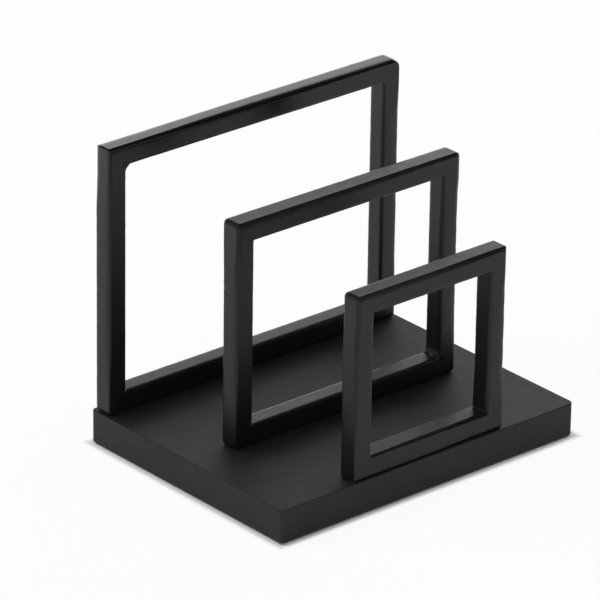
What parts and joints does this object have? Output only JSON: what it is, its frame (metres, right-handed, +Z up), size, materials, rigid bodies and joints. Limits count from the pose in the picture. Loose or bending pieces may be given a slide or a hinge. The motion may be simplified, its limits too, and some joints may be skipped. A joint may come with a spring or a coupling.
{
  "type": "letter sorter",
  "caption": "Free-standing desk letter sorter: upright rectangular frames of square bar, rising from front to back, on a slab base with two slots for envelopes.",
  "frame": {"origin": "under the middle of the base, on the surface that the feet rest on", "axes": "+X along the frames to the right as seen from the front, +Y from the small front frame to the large rear frame, +Z up"},
  "size_m": [0.165, 0.1254, 0.139],
  "materials": {
    "base": "fibreboard under satin black paint, slightly eased edges",
    "frame": "welded steel bar under satin black powder coat",
    "screw": "zinc plated",
    "foot": "matt black"
  },
  "bodies": {
    "root": {"base_board": "base", "small_frame_top_rail": "frame", "small_frame_bottom_rail": "frame", "small_frame_left_post": "frame", "small_frame_right_post": "frame", "small_frame_welds": "frame", "small_frame_screws": "screw", "middle_frame_top_rail": "frame", "middle_frame_bottom_rail": "frame", "middle_frame_left_post": "frame", "middle_frame_right_post": "frame", "middle_frame_welds": "frame", "middle_frame_screws": "screw", "rear_frame_top_rail": "frame", "rear_frame_bottom_rail": "frame", "rear_frame_left_post": "frame", "rear_frame_right_post": "frame", "rear_frame_welds": "frame", "rear_frame_screws": "screw", "foot_front_left": "foot", "foot_front_right": "foot", "foot_rear_left": "foot", "foot_rear_right": "foot"}
  },
  "joints": []
}
